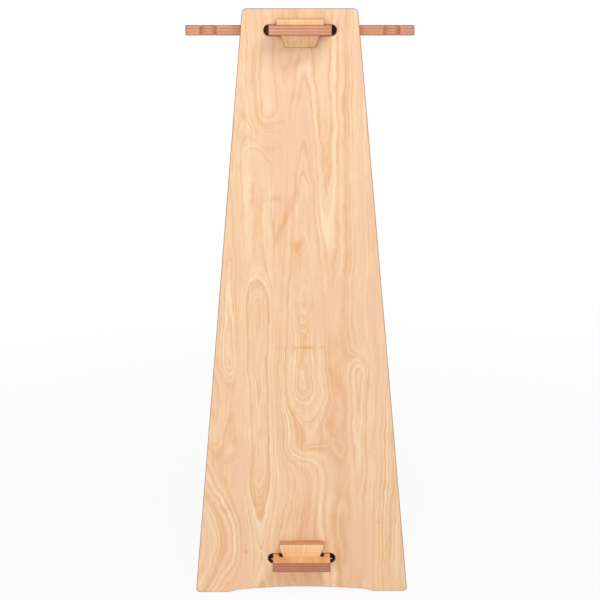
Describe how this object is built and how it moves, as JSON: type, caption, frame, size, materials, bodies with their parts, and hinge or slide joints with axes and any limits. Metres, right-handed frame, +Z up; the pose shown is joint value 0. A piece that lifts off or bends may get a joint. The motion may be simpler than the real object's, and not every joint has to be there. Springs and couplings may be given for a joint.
{
  "type": "wedged plywood standing table",
  "caption": "Tall narrow knock-down table: two tapered plywood side panels joined by a top and a shelf whose tenons pass through the panels and are locked by wedges.",
  "frame": {"origin": "on the floor, under the middle of the table", "axes": "+X across the table, +Y along it from the near to the far side panel, +Z up"},
  "size_m": [0.4, 1.2, 1.078],
  "materials": {
    "panel_birch": "clear satin lacquer on birch plywood",
    "board_birch": "clear satin lacquer on birch plywood",
    "wedge_birch": "clear satin lacquer on birch plywood"
  },
  "bodies": {
    "frame": {"near_side_panel": "panel_birch", "far_side_panel": "panel_birch", "table_top": "board_birch", "lower_shelf": "board_birch"},
    "near_top_wedge": {"near_top_wedge": "wedge_birch"},
    "far_top_wedge": {"far_top_wedge": "wedge_birch"},
    "near_shelf_wedge": {"near_shelf_wedge": "wedge_birch"},
    "far_shelf_wedge": {"far_shelf_wedge": "wedge_birch"}
  },
  "joints": [
    {"name": "near_top_wedge_lift", "type": "slide", "parent": "frame", "child": "near_top_wedge", "axis": [0, 0, 1], "range_m": [0, 0.04]},
    {"name": "far_top_wedge_lift", "type": "slide", "parent": "frame", "child": "far_top_wedge", "axis": [0, 0, 1], "range_m": [0, 0.04]},
    {"name": "near_shelf_wedge_lift", "type": "slide", "parent": "frame", "child": "near_shelf_wedge", "axis": [0, 0, 1], "range_m": [0, 0.024]},
    {"name": "far_shelf_wedge_lift", "type": "slide", "parent": "frame", "child": "far_shelf_wedge", "axis": [0, 0, 1], "range_m": [0, 0.024]}
  ]
}
